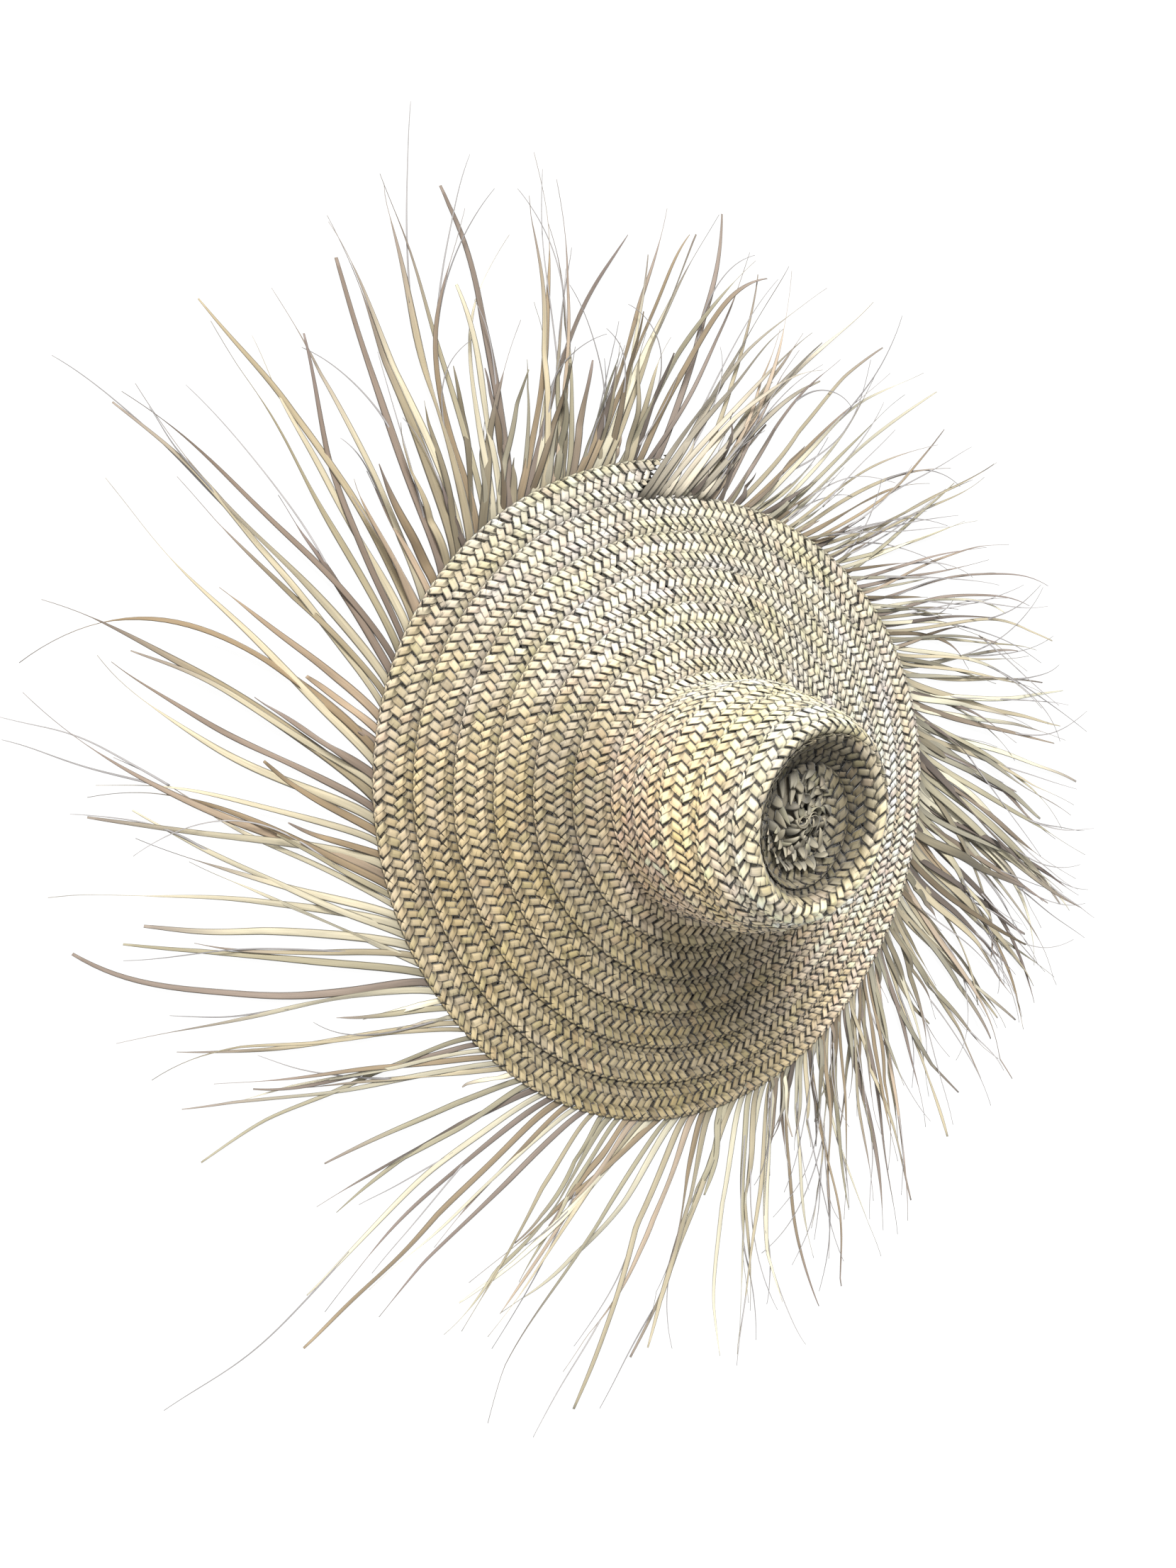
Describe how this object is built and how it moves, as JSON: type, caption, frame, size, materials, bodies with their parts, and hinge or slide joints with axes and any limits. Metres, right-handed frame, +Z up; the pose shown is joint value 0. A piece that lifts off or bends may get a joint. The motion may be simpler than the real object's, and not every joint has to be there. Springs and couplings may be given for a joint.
{
  "type": "plaited palm-leaf hat",
  "caption": "Wide-brimmed hat coiled from one flat palm-leaf plait, with a tall tapering crown, sunken tip and a long loose leaf fringe.",
  "frame": {"origin": "on the hat's axis, in the plane the hat rests on when it lies brim down", "axes": "+Z up through the crown along the hat's axis; +Y close to the azimuth where the outer end of the plait makes its step (96.5 degrees from +X)"},
  "size_m": [0.9802, 0.9802, 0.1663],
  "materials": {
    "brim_plait": "dry palm leaf, woven",
    "crown_plait": "dry palm leaf, woven",
    "tip_plait": "dry palm leaf, woven",
    "lace_leaf": "split palm leaf",
    "fringe_leaf": "dry palm leaf, loose ends"
  },
  "bodies": {
    "root": {"centre_knot": "tip_plait", "tip_loops": "tip_plait", "tip_floor_turn": "tip_plait", "tip_wall_turn": "tip_plait", "rim_turn": "crown_plait", "crown_turn_2": "crown_plait", "crown_turn_1": "crown_plait", "headband_turn": "crown_plait", "brim_bend_turn": "brim_plait", "brim_turn_1": "brim_plait", "brim_turn_2": "brim_plait", "brim_turn_3": "brim_plait", "brim_turn_4": "brim_plait", "brim_turn_5": "brim_plait", "brim_edge_turn": "brim_plait", "tip_lace": "lace_leaf", "crown_lace": "lace_leaf", "brim_lace": "lace_leaf", "fringe_01": "fringe_leaf", "fringe_02": "fringe_leaf", "fringe_03": "fringe_leaf", "fringe_04": "fringe_leaf", "fringe_05": "fringe_leaf", "fringe_06": "fringe_leaf", "fringe_07": "fringe_leaf", "fringe_08": "fringe_leaf", "fringe_09": "fringe_leaf", "fringe_10": "fringe_leaf", "fringe_11": "fringe_leaf", "fringe_12": "fringe_leaf", "fringe_13": "fringe_leaf", "fringe_14": "fringe_leaf"}
  },
  "joints": []
}
